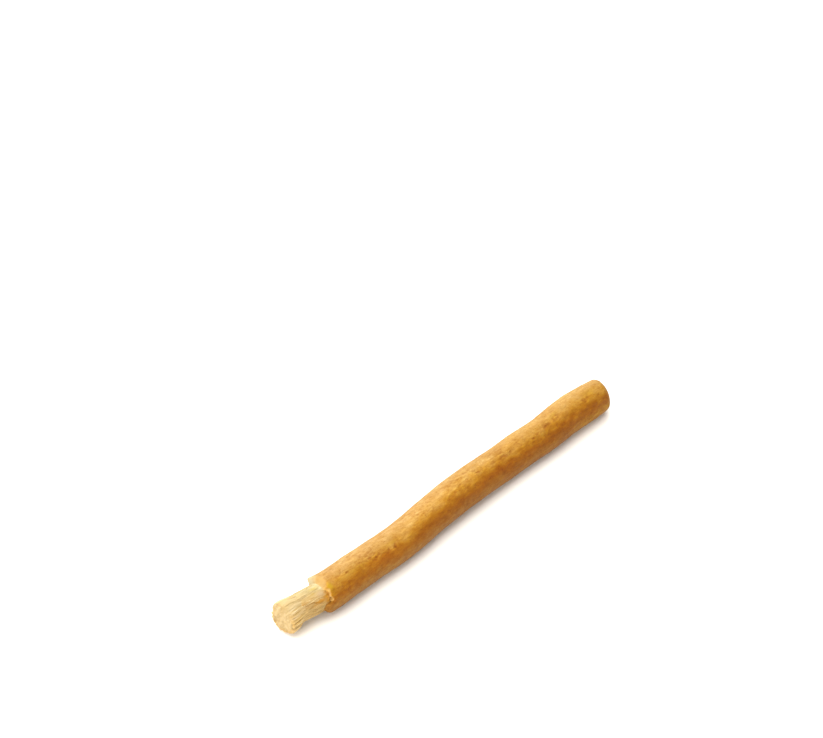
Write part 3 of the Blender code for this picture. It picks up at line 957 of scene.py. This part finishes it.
def wood_material():
    """Bare wood: pale cream with straw-coloured grain, painted browner below as shade, browner where it's
    stained, and sawn.
    """
    n = Nodes("bare_wood")
    grain = n.noise(1500, (0.09, 1, 1), detail=4)
    broad = n.noise(260, (0.35, 1, 1), detail=3)
    # Painted shade: paler along the lit top, browner below
    colour = n.ramp(
        n.attribute("shade"),
        (
            (0.08, (0.470, 0.408, 0.218)),
            (0.23, (0.442, 0.318, 0.130)),
            (0.42, (0.420, 0.252, 0.076)),
            (0.60, (0.412, 0.270, 0.097)),
        ),
    )
    grit = n.noise(1150, (0.5, 1, 1), detail=3, roughness=0.7)
    colour = n.tint(n.spread(grit, 0.52, 0.68, 0.0, 0.8), colour, (1.08, 1.10, 1.22))
    colour = n.tint(n.spread(grit, 0.48, 0.32, 0.0, 0.9), colour, (0.88, 0.82, 0.74))
    colour = n.tint(n.spread(grain, 0.52, 0.68, 0.0, 0.8), colour, (1.06, 1.12, 1.25))
    colour = n.tint(n.spread(grain, 0.48, 0.32, 0.0, 0.8), colour, (0.92, 0.84, 0.74))
    colour = n.tint(n.spread(broad, 0.50, 0.70, 0.0, 0.6), colour, (0.94, 0.84, 0.74))
    hairs = n.noise(4200, (0.05, 1, 1), detail=3, roughness=0.6)
    marks = n.lines(n.noise(900, (0.10, 1, 1), detail=4, roughness=0.6, distortion=0.2), 0.030)
    colour = n.tint(n.spread(hairs, 0.52, 0.68, 0.0, 1.0), colour, (1.08, 1.11, 1.20))
    colour = n.tint(n.spread(hairs, 0.48, 0.32, 0.0, 1.0), colour, (0.91, 0.86, 0.78))
    colour = n.tint(n.maths("MULTIPLY", marks, 0.5), colour, (0.84, 0.74, 0.62))
    # Painted shade in the neck's splits
    colour = n.tint(n.maths("MULTIPLY", n.attribute("groove_painted_shade"), 0.8), colour, (0.80, 0.68, 0.52))
    colour = n.mix(n.maths("MULTIPLY", n.attribute("pink"), 0.8), colour, (0.438, 0.302, 0.162))
    colour = n.tint(n.attribute("golden"), colour, (0.97, 0.88, 0.52))
    colour = n.tint(n.attribute("pale"), colour, (1.18, 1.24, 1.26))
    stain = n.maths("MULTIPLY", n.attribute("stain"), n.spread(broad, 0.30, 0.55, 0.75, 1.0))
    colour = n.mix(stain, colour, (0.396, 0.170, 0.013))
    # Stain and painted shade in the crease under the lip's curl
    colour = n.mix(n.attribute("notch_stain_and_shade"), colour, (0.470, 0.216, 0.014))
    ring = n.spread(n.attribute("out"), 0.80, 1.0, 0.0, 0.75)
    sawn = n.mix(ring, (0.400, 0.304, 0.156), (0.310, 0.182, 0.062))
    sawn = n.mix(n.spread(n.attribute("out"), 0.22, 0.05, 0.0, 0.6), sawn, (0.330, 0.212, 0.082))
    sawn = n.tint(n.maths("MULTIPLY", n.attribute("growth"), 0.7), sawn, (0.90, 0.80, 0.66))
    sawn = n.tint(n.maths("MULTIPLY", n.attribute("ray"), 0.6), sawn, (1.14, 1.18, 1.30))
    sawn = n.tint(n.spread(grit, 0.50, 0.34, 0.0, 1.0), sawn, (0.84, 0.74, 0.62))
    sawn = n.tint(n.maths("MULTIPLY", n.attribute("pore"), 0.9), sawn, (0.62, 0.48, 0.34))
    colour = n.mix(n.attribute("cut"), colour, sawn)
    n.link(colour, n.shader.inputs["Base Color"])
    n.link(n.spread(grain, 0.3, 0.7, 0.66, 0.82), n.shader.inputs["Roughness"])
    n.shader.inputs["Specular IOR Level"].default_value = 0.2
    normal = n.bump(grit, 0.00008, 0.8, n.bump(grain, 0.00010, 0.9))
    normal = n.bump(n.maths("SUBTRACT", 1.0, marks), 0.00005, 0.8, n.bump(hairs, 0.00006, 0.9, normal))
    n.link(normal, n.shader.inputs["Normal"])
    return n.material


def fibre_material(name, depth):
    """Single fibres: cream to straw, each its own tone, painted browner below as shade and lighter along the
    brush's underside as painted light; depth multiplies their colours.
    """
    n = Nodes(name)
    upper = n.mix(n.attribute("tone"), (0.525, 0.375, 0.155), (0.710, 0.585, 0.360))
    lower = n.mix(n.attribute("tone"), (0.530, 0.345, 0.120), (0.720, 0.540, 0.270))
    colour = n.mix(n.attribute("painted_underside"), upper, lower)
    # Painted light where the share goes above 1, along the brush's underside
    colour = n.tint(n.spread(n.attribute("painted_underside"), 1.0, 2.0), colour, (1.24, 1.28, 1.22))
    colour = n.tint(n.spread(n.attribute("tone"), 0.0, -0.9), colour, (0.88, 0.86, 0.78))
    colour = n.tint(1.0, colour, depth)
    colour = n.tint(n.spread(n.attribute("tip"), 0.30, 0.0, 0.0, 1.0), colour, (0.80, 0.78, 0.72))
    colour = n.tint(n.spread(n.attribute("tip"), 0.80, 1.0, 0.0, 1.0), colour, (0.89, 0.85, 0.77))
    n.link(colour, n.shader.inputs["Base Color"])
    n.shader.inputs["Roughness"].default_value = 0.78
    n.shader.inputs["Specular IOR Level"].default_value = 0.3
    return n.material


def make_stage():
    """A plain pale floor, a soft key light high up behind the stick, a softer fill, and a pale horizon."""
    mesh = bpy.data.meshes.new("floor")
    mesh.from_pydata([(-12, -12, 0), (12, -12, 0), (12, 12, 0), (-12, 12, 0)], [], [(0, 1, 2, 3)])
    floor = bpy.data.objects.new("floor", mesh)
    bpy.context.scene.collection.objects.link(floor)
    n = Nodes("floor")
    n.shader.inputs["Base Color"].default_value = (0.92, 0.89, 0.83, 1.0)
    n.shader.inputs["Roughness"].default_value = 0.9
    n.shader.inputs["Specular IOR Level"].default_value = 0.1
    floor.data.materials.append(n.material)

    for name, towards, strength, spread in (
        ("key", (-0.10, 0.38, 0.92), 4.5, 90),
        ("fill", (-0.95, -0.10, 0.28), 3.0, 60),
    ):
        light = bpy.data.lights.new(name, "SUN")
        light.energy = strength
        light.angle = math.radians(spread)
        lamp = bpy.data.objects.new(name, light)
        lamp.rotation_euler = Vector(towards).to_track_quat("Z", "Y").to_euler()
        bpy.context.scene.collection.objects.link(lamp)

    world = bpy.data.worlds.new("room")
    world.use_nodes = True
    tree = world.node_tree
    background = tree.nodes["Background"]
    where = tree.nodes.new("ShaderNodeTexCoord")
    parts = tree.nodes.new("ShaderNodeSeparateXYZ")
    fade = tree.nodes.new("ShaderNodeMapRange")
    fade.inputs["From Min"].default_value = 0.08
    fade.inputs["From Max"].default_value = 0.20
    fade.inputs["To Min"].default_value = 1.25
    fade.inputs["To Max"].default_value = 0.625
    tree.links.new(where.outputs["Generated"], parts.inputs["Vector"])
    tree.links.new(parts.outputs["Z"], fade.inputs["Value"])
    tree.links.new(fade.outputs["Result"], background.inputs["Strength"])
    background.inputs["Color"].default_value = (1.0, 1.0, 1.0, 1.0)
    bpy.context.scene.world = world


def make_camera():
    """The camera looks down on the stick from the photograph's side, through a long lens."""
    location = Vector((-0.491494, -0.482597, 0.691522))
    target = Vector((-0.016423, 0.001548, 0.074312))
    data = bpy.data.cameras.new("camera")
    data.lens = 129.58
    data.sensor_width = 36
    data.clip_start = 0.01
    data.clip_end = 60
    camera = bpy.data.objects.new("camera", data)
    camera.location = location
    camera.rotation_euler = (target - location).to_track_quat("-Z", "Y").to_euler()
    bpy.context.scene.collection.objects.link(camera)
    bpy.context.scene.camera = camera


def main():
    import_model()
    make_bark(bark_material())
    make_wood(wood_material())
    make_fibres()
    make_stage()
    make_camera()
    bpy.context.scene.view_settings.view_transform = "Standard"


main()
